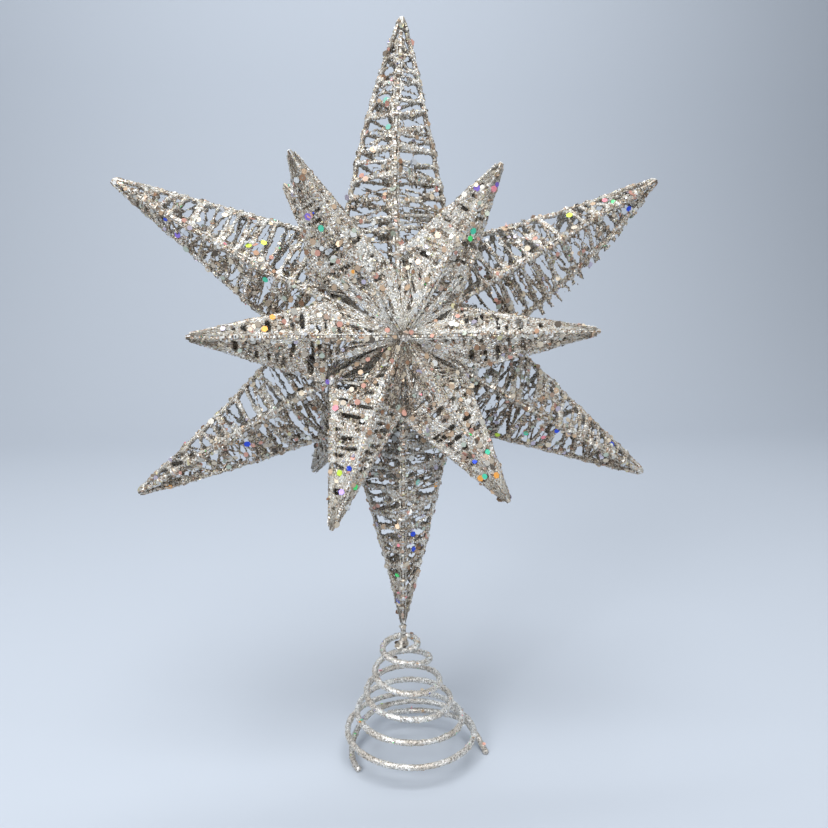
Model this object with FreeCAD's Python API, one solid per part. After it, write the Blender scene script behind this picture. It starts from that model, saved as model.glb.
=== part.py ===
import FreeCAD, Part
import math
import os
from FreeCAD import Vector

# A wire tree-topper star. Six long spikes lie in the XZ plane and six small ones lean forward and six back
# between them. Every spike is a four-edged wire frame wound with glittered thread. The lowest spike stands on
# a short stem, which is joined to a conical wire coil that slips over the top shoot of a tree.
# +Z is up and -Y is the front. The origin is on the coil's axis, level with the ends of its two wires.
# Millimetres and degrees.

# wires and thread
frame_wire_d = 1.8
coil_wire_d = 2.1
thread_d = 0.8
thread_side = 0.64
running_gap = 0.12
body_gap = 0.3
wire_room = frame_wire_d / 2 + running_gap / 2
hole_end = 0.05
coil_facets = 10
thread_facets = 4
askew = Vector(0.31, 0.52, 0.79)

# the star's hub
hub_height = 187.0
hub_x = -2.5
hub_half_depth = 25.5
hub_tie_r = 5.4
hub_tie_inset = 2.6
ridge_start = 4.4

# long spikes, counted anticlockwise from the right as seen from the front; each was bent by hand
long_angle = (30.5, 89.0, 151.5, 211.0, 271.0, 331.0)
long_length = (129.0, 126.5, 128.0, 125.5, 127.5, 125.5)
valley_r = 44.5

# small spikes; the first stands between the last long spike and the first
front_angle = (1.5, 60.5, 122.0, 180.0, 249.0, 302.5)
front_reach = (77.0, 74.5, 79.5, 81.0, 80.0, 77.5)
back_angle = (0.5, 60.5, 125.5, 181.0, 240.0, 301.0)
back_reach = (77.5, 78.0, 82.0, 78.0, 74.0, 78.0)
small_forward = 32.0

# how far from the hub's point each small spike's edges land: on the long ridge after it, and on the one before
front_seat_after = (22.5, 34.0, 38.5, 35.0, 29.0, 29.0)
front_seat_before = (29.0, 26.0, 20.5, 28.5, 32.5, 33.0)
back_seat_after = (29.5, 30.0, 30.5, 31.5, 30.0, 31.0)
back_seat_before = (31.0, 29.5, 30.0, 30.5, 31.5, 30.0)
joint_ball_r = 2.5
leg_shortening = 2.05

# thread windings: where each starts and stops, measured back from the tip along the spike
long_wind_start = 8.0
long_wind_end = 78.0
long_wind_pitch = 4.4
small_wind_start = 8.0
small_wind_end = 33.5
small_wind_pitch = 3.4

# threads that fan out from the hub over each small spike's root
fan_start = 7.5
fan_share = (0.95, 0.83)
fan_clearance = 0.85

# hexagonal sequins glued to the windings
sequins_per_side = 48
sequin_flats = 2.6
sequin_thickness = 0.25
sequin_lift = 0.35
long_sequin_span = (0.12, 0.52)
small_sequin_span = (0.12, 0.40)
sequin_across_span = (0.25, 0.75)
sequin_phase = 0.37
golden = 0.6180339887

# neck: the stem hangs from the lowest spike and stands on a blob of glue on the coil's first turn
neck_z = 51.0
neck_blob_r = 2.9
stem_r = 0.9

# coil: turns are counted from the back, and run down to the left, the front and the right
coil_top_z = 51.5
coil_top_r = 8.8
coil_drop_per_turn = 9.2
coil_front_dip = 2.7
coil_dip_start = 0.5
coil_dip_grown = 0.8
coil_dip_end = 2.3
coil_dip_gone = 2.2
coil_growth = 20.7
coil_growth_power = 1.15
coil_lean_x = 2.2
coil_flat_turn = 4.5
coil_widest_turn = 4.75
coil_hook_turns = 0.42
coil_hook_r = 4.6
coil_hook_drop = 1.2
coil_tuck_start = 4.72
coil_tuck_turns = 0.5
coil_tuck = 6.0
coil_tail_start = 5.08
coil_last_turn = 5.33
coil_tail_flare = 2.5
coil_steps_per_turn = 30

# the second wire starts under the last turn at the back and ends in the tail on the right
second_start_angle = 101.0
second_end_angle = -9.0
second_start_r = 25.5
second_flare = 11.5
second_start_z = 5.3
second_rise = 1.9
second_tail_share = 0.72
second_steps = 22


def centre(points):
    total = Vector(0, 0, 0)
    for point in points:
        total = total + point
    return total * (1.0 / len(points))


def in_plane(angle, radius, y=0.0):
    """A point at an angle and radius about the hub's centre, y in front of or behind it."""
    a = math.radians(angle)
    return Vector(hub_x + radius * math.cos(a), y, hub_height + radius * math.sin(a))


def towards(start, end, distance):
    direction = end - start
    return start + direction * (distance / direction.Length)


def rod(start, end, radius=frame_wire_d / 2):
    """A round wire between two points."""
    return Part.makeCylinder(radius, (end - start).Length, start, end - start)


def tube(points, radius, sides):
    """A closed solid tube of flat facets along a polyline, mitred at each bend."""
    first = (points[1] - points[0]).normalize()
    across = first.cross(askew).normalize()
    upright = first.cross(across)
    ring = []
    for k in range(sides):
        a = 2 * math.pi * (k + 0.5) / sides
        ring.append(points[0] + across * (radius * math.cos(a)) + upright * (radius * math.sin(a)))
    rings = [ring]
    for i in range(1, len(points)):
        along = (points[i] - points[i - 1]).normalize()
        onward = (points[i + 1] - points[i]).normalize() if i + 1 < len(points) else along
        mitre = (along + onward).normalize()
        moved = []
        for corner in rings[-1]:
            step = (points[i] - corner).dot(mitre) / along.dot(mitre)
            moved.append(corner + along * step)
        rings.append(moved)
    faces = [Part.Face(Part.makePolygon(rings[0] + rings[0][:1]))]
    faces.append(Part.Face(Part.makePolygon(rings[-1] + rings[-1][:1])))
    for lower, upper in zip(rings, rings[1:]):
        for k in range(sides):
            m = (k + 1) % sides
            quad = [lower[k], lower[m], upper[m], upper[k], lower[k]]
            faces.append(Part.Face(Part.makePolygon(quad)))
    shell = Part.makeShell(faces)
    shell.sewShape()
    solid = Part.makeSolid(shell)
    if solid.Volume < 0:
        solid.reverse()
    return solid


def valley(k):
    """The notch in the star's outline after long spike k."""
    after = long_angle[(k + 1) % 6] + (360 if k == 5 else 0)
    return in_plane((long_angle[k] + after) / 2, valley_r)


def long_tip(k):
    return in_plane(long_angle[k], long_length[k])


def apex(side):
    """The hub's front (side -1) or back (side +1) point."""
    return Vector(hub_x, side * hub_half_depth, hub_height)


def seats(k, side):
    """The points where small spike k's edges land: on the long ridge after it, and on the one before."""
    after, before = (front_seat_after, front_seat_before) if side < 0 else (back_seat_after, back_seat_before)
    previous = (k - 1) % 6
    return towards(apex(side), long_tip(k), after[k]), towards(apex(side), long_tip(previous), before[k])


def small_tip(k, side):
    angles, reaches = (front_angle, front_reach) if side < 0 else (back_angle, back_reach)
    return in_plane(angles[k], reaches[k], side * small_forward)


def long_edges(k):
    """Long spike k's tip, and the far ends of its four edges in order round it."""
    return long_tip(k), [apex(-1), valley(k), apex(1), valley((k - 1) % 6)]


def small_edges(k, side):
    """Small spike k's tip, and the far ends of its ridge, left edge, inner edge and right edge."""
    after, before = seats(k, side)
    return small_tip(k, side), [apex(side), after, valley((k - 1) % 6), before]


def bent_wire(tip, left, right):
    """One wire bent into a V at a spike's tip."""
    return rod(left, tip).fuse(rod(tip, right)).fuse(Part.makeSphere(frame_wire_d / 2, tip)).removeSplitter()


def long_side_wire(k):
    tip, (_, left, _, right) = long_edges(k)
    return bent_wire(tip, towards(left, tip, leg_shortening), towards(right, tip, leg_shortening))


def long_ridge_wires(k):
    """The front and back ridge wires, cut to fit against the side wire and each other at the tip."""
    tip, (front, left, back, right) = long_edges(k)
    taken = rod(left, tip, wire_room).fuse(rod(tip, right, wire_room)).fuse(Part.makeSphere(wire_room, tip))
    wires = []
    for end, side in ((front, -1), (back, 1)):
        wire = rod(towards(end, tip, ridge_start), tip).cut(taken)
        nearest = -running_gap / 2 if side < 0 else running_gap / 2 - frame_wire_d * 2
        corner = tip + Vector(-frame_wire_d * 2, nearest, -frame_wire_d * 2)
        other_half = Part.makeBox(frame_wire_d * 4, frame_wire_d * 2, frame_wire_d * 4, corner)
        wires.append(max(wire.cut(other_half).Solids, key=lambda s: s.Volume))
    return Part.makeCompound(wires)


def small_frame(k, side):
    """The four wires of a small spike, welded together at its tip."""
    tip, (ridge, left, inner, right) = small_edges(k, side)
    frame = bent_wire(tip, towards(left, tip, leg_shortening), towards(right, tip, leg_shortening))
    frame = frame.fuse(rod(towards(ridge, tip, ridge_start), tip))
    return frame.fuse(rod(towards(inner, tip, leg_shortening), tip)).removeSplitter()


def winding(tip, ends, start, stop, pitch):
    """A thread wound round a spike's four edges. It turns each edge in three short straight pieces."""
    axis = (tip - centre(ends)).normalize()
    reach = frame_wire_d / 2 + thread_d / 2 + running_gap
    slopes = [(end - tip) * (1.0 / (tip - end).dot(axis)) for end in ends]
    turns = int((stop - start) / pitch)
    points = []
    for step in range(4 * turns + 1):
        back = start + step * pitch / 4
        corner = [tip + slope * back for slope in slopes]
        here = corner[step % 4]
        before = (here - corner[(step - 1) % 4]).normalize()
        after = (corner[(step + 1) % 4] - here).normalize()
        normal_before = before.cross(axis)
        normal_after = after.cross(axis)
        outward = (here - centre(corner)).normalize()
        if normal_before.dot(outward) < 0:
            normal_before = normal_before * -1
            normal_after = normal_after * -1
        turn = math.acos(max(-1.0, min(1.0, normal_before.dot(normal_after))))
        bisector = (normal_before + normal_after).normalize()
        for normal in (normal_before, normal_after):
            tangent = (normal + bisector).normalize()
            points.append(here + tangent * (reach / math.cos(turn / 4)))
    return tube(points, thread_side / math.sqrt(2), thread_facets)


def hub_tie(side):
    """The lump of glue that holds the twelve ridges together at the front or the back of the hub."""
    ridges = []
    for k in range(6):
        for tip in (long_tip(k), small_tip(k, side)):
            ridges.append(rod(towards(apex(side), tip, ridge_start - hole_end), tip, wire_room))
    middle = apex(side) - Vector(0, side * hub_tie_inset, 0)
    return Part.makeSphere(hub_tie_r, middle).cut(Part.makeCompound(ridges))


def ridge_glue(side):
    """Drops of glue where the small spikes' edges land on the long ridges. Two that nearly meet are one drop."""
    drops = []
    for k in range(6):
        onward = (k + 1) % 6
        before, after = seats(k, side)[0], seats(onward, side)[1]
        wires = [rod(apex(side), long_tip(k), wire_room)]
        for tip, seat in ((small_tip(k, side), before), (small_tip(onward, side), after)):
            wires.append(rod(towards(seat, tip, leg_shortening - hole_end), tip, wire_room))
        along = (long_tip(k) - apex(side)).normalize()
        drop = Part.makeSphere(joint_ball_r, before, along)
        if (before - after).Length > joint_ball_r / 2:
            drop = drop.fuse(Part.makeSphere(joint_ball_r, after, along))
        drops.append(drop.cut(Part.makeCompound(wires)))
    return Part.makeCompound(drops)


def valley_glue():
    """Drops of glue where the side wires of two long spikes meet in the valleys of the outline."""
    drops = []
    for k in range(6):
        after = (k + 1) % 6
        wires = []
        for tip in (long_tip(k), long_tip(after), small_tip(after, -1), small_tip(after, 1)):
            wires.append(rod(towards(valley(k), tip, leg_shortening - hole_end), tip, wire_room))
        drops.append(Part.makeSphere(joint_ball_r, valley(k)).cut(Part.makeCompound(wires)))
    return Part.makeCompound(drops)


def fan_threads(side):
    """Straight threads from the hub out to the edges of the small spikes."""
    threads = []
    lift = Vector(0, side * (frame_wire_d / 2 + thread_d / 2 + fan_clearance), 0)
    for k in range(6):
        tip, (ridge, left, _, right) = small_edges(k, side)
        for end in (left, right):
            for share in fan_share:
                far = tip + (end - tip) * share + lift
                near = towards(apex(side) + lift, far, fan_start)
                threads.append(rod(near, far, thread_d / 2))
    return Part.makeCompound(threads)


def sequins(side):
    """Flat hexagons on the faces of the spikes that look forward or back."""
    plates = []
    lift = frame_wire_d / 2 + thread_d + running_gap + sequin_lift
    for n in range(sequins_per_side):
        k = n % 6
        if (n // 6) % 2:
            tip, ends = long_edges(k)
            near = 0 if side < 0 else 2
            span = long_sequin_span
        else:
            tip, ends = small_edges(k, side)
            near = 0
            span = small_sequin_span
        other = 1 if (n // 12) % 2 else 3
        back = span[0] + (span[1] - span[0]) * ((n * golden) % 1.0)
        low, high = sequin_across_span
        across = low + (high - low) * ((n * golden * golden + sequin_phase) % 1.0)
        ridge, edge = ends[near] - tip, ends[other] - tip
        length = ridge.Length
        ridge_point = tip + ridge.normalize() * (back * length)
        edge_point = tip + edge.normalize() * (back * length)
        normal = (ridge_point - tip).cross(edge_point - tip).normalize()
        if normal.y * side < 0:
            normal = normal * -1
        middle = ridge_point + (edge_point - ridge_point) * across + normal * lift
        plates.append(hexagon(middle, normal, (ridge_point - tip).normalize()))
    return Part.makeCompound(plates)


def hexagon(middle, normal, along):
    radius = sequin_flats / math.sqrt(3)
    across = normal.cross(along)
    corners = []
    for k in range(7):
        a = math.radians(60 * k)
        corners.append(middle + along * (radius * math.cos(a)) + across * (radius * math.sin(a)))
    return Part.Face(Part.makePolygon(corners)).extrude(normal * sequin_thickness)


def smooth(share):
    share = max(0.0, min(1.0, share))
    return share * share * (3 - 2 * share)


def coil_point(turn):
    """A point on the coil's main wire. Turn 0 is at the back of the top ring."""
    grown = max(0.0, min(1.0, turn / coil_widest_turn))
    radius = coil_top_r + coil_growth * grown ** coil_growth_power
    dip = smooth((turn - coil_dip_start) / coil_dip_grown) * (1 - smooth((turn - coil_dip_end) / coil_dip_gone))
    z = coil_top_z - coil_drop_per_turn * min(turn, coil_flat_turn)
    z = z - coil_front_dip * dip * (1 - math.cos(2 * math.pi * turn)) / 2
    if turn < 0:
        radius = coil_hook_r + (coil_top_r - coil_hook_r) * smooth(1 + turn / coil_hook_turns)
        z = coil_top_z - coil_hook_drop * smooth(-turn / coil_hook_turns)
    tail = smooth((turn - coil_tail_start) / (coil_last_turn - coil_tail_start))
    tail_end_z = coil_wire_d / 2
    radius = radius - coil_tuck * smooth((turn - coil_tuck_start) / coil_tuck_turns) + coil_tail_flare * tail
    z = z + (tail_end_z - z) * tail
    middle_x = coil_lean_x * grown
    a = 2 * math.pi * (turn + 0.25)
    return Vector(middle_x + radius * math.cos(a), radius * math.sin(a), z)


def coil_wire():
    first = -coil_hook_turns
    steps = int((coil_last_turn - first) * coil_steps_per_turn)
    points = [coil_point(first + (coil_last_turn - first) * i / steps) for i in range(steps + 1)]
    return tube(points, coil_wire_d / 2, coil_facets)


def coil_second_wire():
    """Runs clockwise seen from above, from the back round to the tail on the right."""
    points = []
    for i in range(second_steps + 1):
        share = i / second_steps
        a = math.radians(second_start_angle + (second_end_angle - second_start_angle) * share)
        radius = second_start_r + second_flare * share * share
        z = second_start_z + second_rise * smooth(share / second_tail_share)
        tail = smooth((share - second_tail_share) / (1 - second_tail_share))
        z = z + (coil_wire_d / 2 - z) * tail
        points.append(Vector(radius * math.cos(a), radius * math.sin(a), z))
    return tube(points, coil_wire_d / 2, coil_facets)


def main():
    os.makedirs("parts", exist_ok=True)
    nodes = {}
    for k in range(6):
        nodes["long_spike_%d_side_wire" % (k + 1)] = long_side_wire(k)
        nodes["long_spike_%d_ridge_wires" % (k + 1)] = long_ridge_wires(k)
        tip, ends = long_edges(k)
        thread = winding(tip, ends, long_wind_start, long_wind_end, long_wind_pitch)
        nodes["long_spike_%d_winding" % (k + 1)] = thread
    for name, side in (("front", -1), ("back", 1)):
        for k in range(6):
            nodes["%s_spike_%d_frame" % (name, k + 1)] = small_frame(k, side)
            tip, ends = small_edges(k, side)
            thread = winding(tip, ends, small_wind_start, small_wind_end, small_wind_pitch)
            nodes["%s_spike_%d_winding" % (name, k + 1)] = thread
        nodes["hub_%s_glue" % name] = hub_tie(side)
        nodes["hub_%s_threads" % name] = fan_threads(side)
        nodes["sequins_%s" % name] = sequins(side)
        nodes["ridge_glue_%s" % name] = ridge_glue(side)
    nodes["valley_glue"] = valley_glue()

    nodes["coil_wire"] = coil_wire()
    nodes["coil_second_wire"] = coil_second_wire()
    nodes["neck_glue"] = Part.makeSphere(neck_blob_r, Vector(0, 0, neck_z))
    stem_low = neck_z + neck_blob_r + body_gap
    stem_high = hub_height - long_length[4] - frame_wire_d / 2 - body_gap
    nodes["stem_wire"] = Part.makeCylinder(stem_r, stem_high - stem_low, Vector(0, 0, stem_low))

    for name, shape in nodes.items():
        shape.exportStep("parts/%s.step" % name)
        solids = shape.Solids
        print(name, "solids", len(solids), "valid", shape.isValid(), "volume", round(shape.Volume, 1))
    print("nodes", len(nodes))


main()
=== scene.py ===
import math

import bpy
import numpy as np
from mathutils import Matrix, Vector


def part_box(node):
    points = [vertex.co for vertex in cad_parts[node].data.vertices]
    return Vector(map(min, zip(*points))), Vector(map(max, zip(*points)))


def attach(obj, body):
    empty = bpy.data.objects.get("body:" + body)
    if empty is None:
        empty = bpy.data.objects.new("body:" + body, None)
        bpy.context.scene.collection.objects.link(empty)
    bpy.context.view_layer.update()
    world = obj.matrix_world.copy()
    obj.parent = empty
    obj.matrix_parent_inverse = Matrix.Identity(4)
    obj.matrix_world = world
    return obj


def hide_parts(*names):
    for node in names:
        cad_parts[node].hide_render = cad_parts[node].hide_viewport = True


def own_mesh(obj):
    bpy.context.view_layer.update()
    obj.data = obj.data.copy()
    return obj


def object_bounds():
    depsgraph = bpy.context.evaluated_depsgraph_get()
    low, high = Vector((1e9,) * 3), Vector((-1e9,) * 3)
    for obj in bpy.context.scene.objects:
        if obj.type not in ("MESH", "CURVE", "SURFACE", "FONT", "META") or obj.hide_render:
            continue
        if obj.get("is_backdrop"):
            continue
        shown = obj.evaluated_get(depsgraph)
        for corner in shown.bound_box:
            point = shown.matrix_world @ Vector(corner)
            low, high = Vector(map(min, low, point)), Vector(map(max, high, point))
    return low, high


# A tree-topper star: wire spikes wound with glittered thread and dotted with hexagonal foil sequins, on a
# conical wire coil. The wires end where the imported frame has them, some bow a little in between, and every
# strand, grain and sequin is built round them here. +Z is up and -Y is the front. Lengths are in mm and turn
# into metres when a piece is made.

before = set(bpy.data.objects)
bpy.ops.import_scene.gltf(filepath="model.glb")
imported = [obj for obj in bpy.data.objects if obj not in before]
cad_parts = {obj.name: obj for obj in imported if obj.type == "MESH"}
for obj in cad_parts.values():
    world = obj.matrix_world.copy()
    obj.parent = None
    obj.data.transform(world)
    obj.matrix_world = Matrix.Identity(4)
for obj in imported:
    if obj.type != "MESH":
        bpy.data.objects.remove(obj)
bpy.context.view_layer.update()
MM = 0.001

# the star's wires, as the frame has them; the lists go round the star from +X, spike by spike
spike_count = 6
hub_height = 187.0
hub_x = -2.5
hub_half_depth = 25.5
long_angle = (30.5, 89.0, 151.5, 211.0, 271.0, 331.0)
long_length = (129.0, 126.5, 128.0, 125.5, 127.5, 125.5)
valley_r = 44.5
front_angle = (1.5, 60.5, 122.0, 180.0, 249.0, 302.5)
front_reach = (77.0, 74.5, 79.5, 81.0, 80.0, 77.5)
back_angle = (0.5, 60.5, 125.5, 181.0, 240.0, 301.0)
back_reach = (77.5, 78.0, 82.0, 78.0, 74.0, 78.0)
small_forward = 32.0
front_seat_after = (22.5, 34.0, 38.5, 35.0, 29.0, 29.0)
front_seat_before = (29.0, 26.0, 20.5, 28.5, 32.5, 33.0)
back_seat_after = (29.5, 30.0, 30.5, 31.5, 30.0, 31.0)
back_seat_before = (31.0, 29.5, 30.0, 30.5, 31.5, 30.0)

# the coil's two wires, as the frame has them
coil_top_z = 51.5
coil_top_r = 8.8
coil_drop_per_turn = 9.2
coil_front_dip = 2.7
coil_dip_start = 0.5
coil_dip_grown = 0.8
coil_dip_end = 2.3
coil_dip_gone = 2.2
coil_growth = 20.7
coil_growth_power = 1.15
coil_lean_x = 2.2
coil_flat_turn = 4.5
coil_widest_turn = 4.75
coil_hook_turns = 0.42
coil_hook_r = 4.6
coil_hook_drop = 1.2
coil_tuck_start = 4.72
coil_tuck_turns = 0.5
coil_tuck = 6.0
coil_tail_start = 5.08
coil_last_turn = 5.33
coil_tail_flare = 2.5
second_start_angle = 101.0
second_end_angle = -9.0
second_start_r = 25.5
second_flare = 11.5
second_start_z = 5.3
second_rise = 1.9
second_tail_share = 0.72
tail_end_z = 1.05

# how thick things are once they are glittered, and how far apart the wires are at a tip
star_wire_r = 1.0
tip_bend = 2.0
long_tip_spread = 1.2
small_tip_spread = 0.75
lowest_tip_spread = 0.2
fine_tip = 0.5
coil_wire_r = 1.26
coil_sway = 0.12
stem_low_r = 0.9
stem_high_r = 1.2
step = 0.5

# the lacy sheets of thread and glue between the wires
cell = 0.5
lace_lift = 0.75
lace_thickness = 0.62
small_lace_lift = 0.5
hub_lace_lift = 0.85
lace_roughness = 0.22
underside_share = 0.8
# painted shade: how much darker the thin edges of strands are, in the grooves between them
groove_painted_shade = 0.42
patch_darkening = 0.13
# how the sheets' strength varies: from cell to cell, in small blotches and in large ones
face_unevenness = (0.12, 0.08, 0.20)
hub_unevenness = (0.16, 0.10, 0.15)
# glue along a wire, and how a thread strays and thickens on its way between two wires
wire_glue = 0.9
wire_glue_width = 1.1
thread_bow = 0.5
thread_wobble = 0.22
thread_unevenness = 0.30
thread_end_swell = 0.5
thread_end_width = 1.6
# the winding's far end is ragged
ragged_end = 12.0
ragged_wobble = 2.5
ragged_softness = 1.2
# one edge of one long spike is torn, and a fringe of threads hangs past it
torn_spike = 0
torn_edge = 3
fringe_length = 5.0
fringe_share = 0.28
fringe_softness = 0.4
fringe_thinning = 0.14
# the hub's threads: the glue in the middle, and how each thread strays and fades out
hub_glue_r = 7.0
hub_bands = 4
hub_band_stray = 0.07
hub_thread_stray = 0.05
hub_thread_wobble = 0.012
hub_thread_radii = (0.38, 0.72)
hub_thread_softness = 0.8
hub_overhang = 0.8

# wound threads: the pitch, how uneven it is, and half the strand's width
dense_threads = ((2.3, 0.8, 0.44), (2.7, 1.1, 0.50), (3.9, 1.6, 0.36))
open_threads = ((4.6, 1.2, 0.56), (6.0, 1.8, 0.48), (9.0, 3.0, 0.36))
# where they start and stop, back from the tip
fine_first_back = 3.0
long_first_back = 10.5
dense_reach = 68.0
open_reach = 97.0
# the gap between the knots they gather at, and how strongly a knot pulls
dense_knots = (3.2, 0.3)
open_knots = (5.2, 0.6)
# how much thicker a wire is where they wrap it
dense_swell = 0.15
open_swell = 0.34
front_ridge_swell = 0.6
# how much more open the faces that look back are
dense_back_opening = 0.07
open_back_opening = 0.15

# where each random sequence starts
long_seed = 100
small_seed = 200
hub_seed = 300
valley_seed = 400
coil_seed = 500
second_seed = 501
neck_seed = 502


def unit(vectors):
    return vectors / np.maximum(np.linalg.norm(vectors, axis=-1, keepdims=True), 1e-9)


def smooth_step(share):
    share = min(1.0, max(0.0, share))
    return share * share * (3 - 2 * share)


def wander(rng, count, reach):
    """Smooth random numbers, about -1 to 1, that change over a few steps."""
    kernel = np.hanning(2 * reach + 3)
    raw = np.convolve(rng.normal(size=count + 2 * reach + 2), kernel / np.linalg.norm(kernel), "valid")
    return raw[:count] * 0.6


def blotches(rng, rows, columns, reach):
    """Smooth random numbers over a grid, with a spread of 1."""
    kernel = np.hanning(2 * reach + 3)[1:-1]
    kernel = kernel / np.linalg.norm(kernel)
    raw = rng.normal(size=(rows + 2 * reach, columns + 2 * reach))
    raw = np.apply_along_axis(np.convolve, 0, raw, kernel, "valid")
    return np.apply_along_axis(np.convolve, 1, raw, kernel, "valid")


def bell(distance):
    """1 at a distance of 0 and a half at a distance of 1."""
    return 0.5 ** (distance ** 2)


def below_zero(distance, softness):
    """1 where the distance is well below 0, and 0 where it is well above."""
    return 1 / (1 + np.exp(distance / softness))


def roughen(field, rng, unevenness, cover):
    """Makes the strength of a sheet uneven, and adds cover to all of it."""
    cell_to_cell, small, large = unevenness
    field += cell_to_cell * rng.normal(size=field.shape) + small * blotches(rng, *field.shape, 1)
    field += large * blotches(rng, *field.shape, 9) + cover


# ---------------------------------------------------------------- mesh building

class Pile:
    """The vertices and faces of one piece, gathered in mm."""

    def __init__(self):
        self.points, self.faces, self.slots, self.count = [], [], [], 0

    def add(self, points, faces, slots=0):
        self.points.append(points)
        self.faces.append(faces + self.count)
        self.slots.append(np.broadcast_to(slots, len(faces)))
        self.count += len(points)

    def make(self, name, body, nodes, materials, finish, smooth=True):
        points = np.concatenate(self.points) * MM
        corners = np.concatenate([f.ravel() for f in self.faces])
        sizes = np.concatenate([np.full(len(f), f.shape[1]) for f in self.faces])
        mesh = bpy.data.meshes.new(name)
        mesh.vertices.add(len(points))
        mesh.vertices.foreach_set("co", points.astype(np.float32).ravel())
        mesh.loops.add(len(corners))
        mesh.loops.foreach_set("vertex_index", corners.astype(np.int32))
        mesh.polygons.add(len(sizes))
        mesh.polygons.foreach_set("loop_start", np.concatenate([[0], np.cumsum(sizes)[:-1]]).astype(np.int32))
        mesh.polygons.foreach_set("material_index", np.concatenate(self.slots).astype(np.int32))
        mesh.polygons.foreach_set("use_smooth", np.full(len(sizes), smooth))
        mesh.update(calc_edges=True)
        mesh.validate()
        for material in materials:
            mesh.materials.append(material)
        piece = bpy.data.objects.new(name, mesh)
        bpy.context.scene.collection.objects.link(piece)
        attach(piece, body)
        if nodes:
            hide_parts(*nodes)
        return piece


class Strand:
    """A thread or wire: its path, the frame of directions along it, its radius, and which way is outward."""

    def __init__(self, path, radius, outward=None):
        self.path = path
        self.radius = np.broadcast_to(radius, len(path))
        self.along = unit(np.gradient(path, axis=0))
        side = np.array([0.31, 0.52, 0.79]) if outward is None else outward
        self.across = unit(np.cross(self.along, side))
        self.upright = np.cross(self.across, self.along)
        self.outward = self.upright if outward is None else unit(outward)
        self.length = np.linalg.norm(np.diff(path, axis=0), axis=1).sum()

    def tube(self, pile, rng, sides=6, lumps=0.14, speckle=False):
        """A closed tube with a lumpy skin, in one material or speckled with the foils."""
        count = len(self.path)
        turn = 2 * np.pi * (np.arange(sides) + 0.5) / sides
        ring = self.upright[:, None] * np.cos(turn)[None, :, None]
        ring = ring - self.across[:, None] * np.sin(turn)[None, :, None]
        skin = 1 + lumps * rng.normal(size=(count, sides)) + lumps * wander(rng, count, 2)[:, None]
        points = self.path[:, None] + ring * (self.radius[:, None] * np.clip(skin, 0.6, 1.7))[:, :, None]
        ends = np.array([self.path[0] - self.along[0] * self.radius[0] * 0.7,
                         self.path[-1] + self.along[-1] * self.radius[-1] * 0.7])
        at = (np.arange(count - 1) * sides)[:, None]
        k = np.arange(sides)[None, :]
        m = (k + 1) % sides
        quads = np.stack([at + k, at + m, at + sides + m, at + sides + k], -1).reshape(-1, 4)
        k, m = k[0], m[0]
        last = (count - 1) * sides
        caps = np.concatenate([np.stack([m, k, np.full(sides, count * sides)], -1),
                               np.stack([last + k, last + m, np.full(sides, count * sides + 1)], -1)])
        tone = np.clip(rng.random(len(quads)) + 0.10 * np.repeat(wander(rng, count - 1, 6), sides), 0, 0.999)
        pile.add(np.concatenate([points.reshape(-1, 3), ends]), quads,
                 np.searchsorted(tone_steps, tone, "right") if speckle else 0)
        pile.faces.append(caps + pile.count - count * sides - 2)
        pile.slots.append(np.zeros(len(caps), int))

    def places(self, rng, count, facing=-1.0):
        """Random places on the skin, and the skin's direction, the strand's and the outward one there. Facing
        is how far outward a place has to look: -1 keeps all of them and 0 the outward half."""
        i = rng.integers(1, len(self.path) - 1, count)
        turn = rng.uniform(0, 2 * np.pi, count)
        skin = self.upright[i] * np.cos(turn)[:, None] + self.across[i] * np.sin(turn)[:, None]
        keep = (skin * self.outward[i]).sum(-1) > facing
        i, skin = i[keep], skin[keep]
        middle = self.path[i] + self.along[i] * rng.uniform(-0.5, 0.5, len(i))[:, None]
        return middle + skin * self.radius[i][:, None], skin, self.along[i], self.outward[i]


def plates(pile, rng, middles, normals, radii, thickness, slots):
    """Flat hexagons with a thickness, each turned at random about its normal."""
    count = len(middles)
    normals = unit(normals)
    across = unit(np.cross(normals, unit(rng.normal(size=(count, 3)))))
    upright = np.cross(normals, across)
    corner = np.arange(6)
    turn = np.pi / 3 * corner
    ring = across[:, None] * np.cos(turn)[None, :, None] + upright[:, None] * np.sin(turn)[None, :, None]
    ring = middles[:, None] + ring * np.broadcast_to(radii, count)[:, None, None]
    lift = normals[:, None] * (thickness / 2)
    points = np.concatenate([ring - lift, ring + lift], 1).reshape(-1, 3)
    at = (np.arange(count) * 12)[:, None]
    top = at + 6 + corner[None, :]
    bottom = at + corner[::-1][None, :]
    after = (corner + 1) % 6
    sides = (at[:, :, None] + np.stack([corner, after, after + 6, corner + 6], -1)[None]).reshape(-1, 4)
    base = pile.count
    pile.add(points, np.concatenate([top, bottom]), np.concatenate([slots, slots]))
    pile.faces.append(sides + base)
    pile.slots.append(np.repeat(slots, 6))


def grains(pile, rng, middles, normals, radii, thickness, slots):
    """Small glitter chips: low four-sided points."""
    count = len(middles)
    normals = unit(normals)
    across = unit(np.cross(normals, unit(rng.normal(size=(count, 3)))))
    upright = np.cross(normals, across)
    size = np.broadcast_to(radii, count)[:, None]
    stretch = rng.uniform(0.7, 1.15, (count, 2))
    points = np.stack([
        middles + across * size * stretch[:, :1], middles + upright * size * stretch[:, 1:],
        middles - across * size * stretch[:, :1], middles - upright * size * stretch[:, 1:],
        middles + normals * thickness], 1).reshape(-1, 3)
    at = (np.arange(count) * 5)[:, None, None]
    base = pile.count
    sides = (at + np.array([[0, 1, 4], [1, 2, 4], [2, 3, 4], [3, 0, 4]])[None]).reshape(-1, 3)
    pile.add(points, sides, np.repeat(slots, 4))
    pile.faces.append(at[:, 0] + np.array([[3, 2, 1, 0]]) + base)
    pile.slots.append(slots)


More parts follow.
